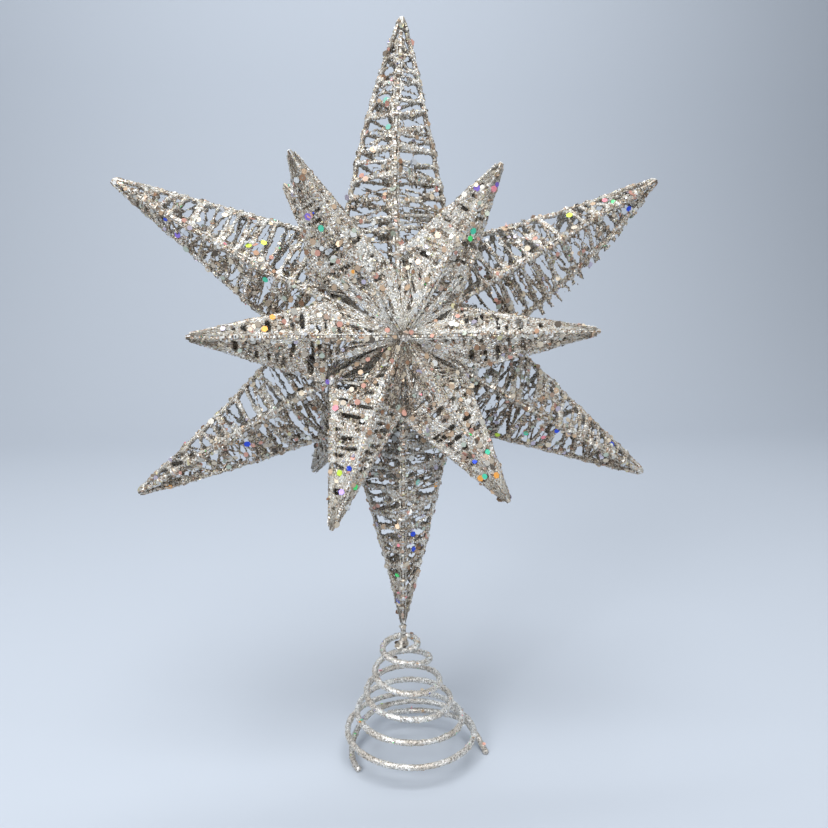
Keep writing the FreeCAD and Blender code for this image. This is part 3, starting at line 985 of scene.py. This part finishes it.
def coil_point(turn):
    """A point on the coil's main wire. Turn 0 is at the back of the top ring."""
    grown = max(0.0, min(1.0, turn / coil_widest_turn))
    radius = coil_top_r + coil_growth * grown ** coil_growth_power
    dip = smooth_step((turn - coil_dip_start) / coil_dip_grown)
    dip = dip * (1 - smooth_step((turn - coil_dip_end) / coil_dip_gone))
    z = coil_top_z - coil_drop_per_turn * min(turn, coil_flat_turn)
    z = z - coil_front_dip * dip * (1 - math.cos(2 * math.pi * turn)) / 2
    if turn < 0:
        radius = coil_hook_r + (coil_top_r - coil_hook_r) * smooth_step(1 + turn / coil_hook_turns)
        z = coil_top_z - coil_hook_drop * smooth_step(-turn / coil_hook_turns)
    tail = smooth_step((turn - coil_tail_start) / (coil_last_turn - coil_tail_start))
    tucked = smooth_step((turn - coil_tuck_start) / coil_tuck_turns)
    radius = radius - coil_tuck * tucked + coil_tail_flare * tail
    z = z + (tail_end_z - z) * tail
    middle_x = coil_lean_x * grown
    a = 2 * math.pi * (turn + 0.25)
    return middle_x + radius * math.cos(a), radius * math.sin(a), z


def second_point(share):
    """A point on the coil's second wire, from the back round to the tail on the right."""
    a = math.radians(second_start_angle + (second_end_angle - second_start_angle) * share)
    radius = second_start_r + second_flare * share * share
    z = second_start_z + second_rise * smooth_step(share / second_tail_share)
    z = z + (tail_end_z - z) * smooth_step((share - second_tail_share) / (1 - second_tail_share))
    return radius * math.cos(a), radius * math.sin(a), z


def coil_piece(rng, name, node, points):
    """One of the coil's wires and its glitter, each given a mesh of its own."""
    path = np.array(points)
    count = len(path)
    sway = [wander(rng, count, 12), wander(rng, count, 12), wander(rng, count, 12) * 0.5]
    path = path + coil_sway * np.stack(sway, -1)
    up = np.broadcast_to([0.0, 0.0, 1.0], path.shape)
    strand = Strand(path, coil_wire_r * (1 + 0.06 * wander(rng, count, 4)), up)
    pile = Pile()
    strand.tube(pile, rng, 12, 0.05)
    wire = pile.make(name, "coil", [node], [coil_glitter], "coil_wire")
    pile = Pile()
    dust(pile, rng, [strand], 7.0, 0.32, bright=0.02, shade=-0.22)
    sequins(pile, rng, [strand], 0.05, bright=0.10, small=0.6, large=1.1, stray=0.2)
    flakes = pile.make(name + "_glitter", "coil", [], foils, "sequin", smooth=False)
    for piece in (wire, flakes):
        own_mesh(piece)


turns = np.linspace(-coil_hook_turns, coil_last_turn, 900)
main_points = [coil_point(turn) for turn in turns]
coil_piece(np.random.default_rng(coil_seed), "coil_main_wire", "coil_wire", main_points)
second_points = [second_point(share) for share in np.linspace(0, 1, 110)]
coil_piece(np.random.default_rng(second_seed), "coil_spare_wire", "coil_second_wire", second_points)

rng = np.random.default_rng(neck_seed)
neck_drops = [((-1.7, -0.6, 50.4), 1.5), ((-0.9, -0.3, 51.8), 1.6), ((0.0, 0.0, 53.0), 1.35),
              ((0.5, 0.6, 51.0), 1.5)]
lumps_piece(rng, "neck_clump", "neck", ["neck_glue"], neck_drops, 0.3)
low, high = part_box("stem_wire")
stem_overlap = 0.2
stem_foot = np.array([0, 0, low.z / MM - stem_overlap])
stem_head = np.array([0, 0, high.z / MM + stem_overlap])
pile, flakes = Pile(), Pile()
stem = straight_wire(rng, stem_foot, stem_head, stem_low_r, 0.0)
stem.radius = np.linspace(stem_low_r, stem_high_r, len(stem.path))
stem.tube(pile, rng, 10, 0.08)
# the top of the stem has no glitter of its own, so the star can sway without touching any
bare_steps = 4
dust(flakes, rng, [Strand(stem.path[:-bare_steps], stem.radius[:-bare_steps])], 5.0, 0.36)
pile.make("stem_glittered_wire", "stem", ["stem_wire"], [wire_glitter], "glitter_wire")
flakes.make("stem_glitter", "stem", [], foils, "sequin", smooth=False)

# ---------------------------------------------------- floor, lights and camera

floor_material, _, _, shader = principled("pale_floor")
shader.inputs["Base Color"].default_value = (0.50, 0.55, 0.62, 1)
shader.inputs["Roughness"].default_value = 0.85
floor_front = -1.5
bend_start = 0.9
bend_r = 0.8
bend_steps = 12
wall_top = 3.0
floor_half_width = 3.0
profile = [(floor_front, 0.0), (bend_start, 0.0)]
for i in range(1, bend_steps + 1):
    a = math.pi / 2 * i / bend_steps
    profile.append((bend_start + bend_r * math.sin(a), bend_r - bend_r * math.cos(a)))
profile.append((bend_start + bend_r, wall_top))
points = [(x, y, z) for y, z in profile for x in (-floor_half_width, floor_half_width)]
faces = [(2 * i, 2 * i + 1, 2 * i + 3, 2 * i + 2) for i in range(len(profile) - 1)]
mesh = bpy.data.meshes.new("floor")
mesh.from_pydata(points, [], faces)
mesh.polygons.foreach_set("use_smooth", [True] * len(faces))
mesh.materials.append(floor_material)
floor = bpy.data.objects.new("floor", mesh)
bpy.context.scene.collection.objects.link(floor)
floor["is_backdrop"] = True


def area_light(name, place, aim, size, watts, colour):
    lamp = bpy.data.lights.new(name, "AREA")
    lamp.shape = "RECTANGLE"
    lamp.size, lamp.size_y = size
    lamp.energy = watts
    lamp.color = colour
    light = bpy.data.objects.new(name, lamp)
    light.location = place
    light.rotation_euler = (Vector(aim) - Vector(place)).to_track_quat("-Z", "Y").to_euler()
    bpy.context.scene.collection.objects.link(light)


aim = (0, 0, 0.16)
area_light("top_light", (-0.1, -0.40, 1.1), aim, (0.9, 0.7), 10.5, (1.0, 1.0, 1.0))
area_light("key_light", (-0.7, -1.0, 0.7), aim, (0.45, 0.45), 9, (1.0, 0.99, 0.98))
area_light("fill_light", (0.9, -0.9, 0.3), aim, (0.6, 0.6), 3.0, (1.0, 0.97, 0.93))
area_light("backdrop_light", (0.0, 0.5, 1.6), (0, 1.7, 0.5), (1.6, 0.5), 16, (1.0, 1.0, 1.0))
world = bpy.data.worlds.new("studio")
bpy.context.scene.world = world
world.use_nodes = True
world.node_tree.nodes["Background"].inputs["Color"].default_value = (0.80, 0.85, 0.92, 1)
world.node_tree.nodes["Background"].inputs["Strength"].default_value = 0.28
bpy.context.scene.view_settings.view_transform = "Standard"

camera = bpy.data.objects.new("camera", bpy.data.cameras.new("camera"))
camera.data.lens = 32.4
camera.data.sensor_width = 36.0
camera.data.clip_start = 0.01
camera.location = (-0.03066, -0.31370, 0.19209)
camera.rotation_euler = Vector((0.11110, 0.98642, -0.12094)).to_track_quat("-Z", "Y").to_euler()
bpy.context.scene.collection.objects.link(camera)
bpy.context.scene.camera = camera

low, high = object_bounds()
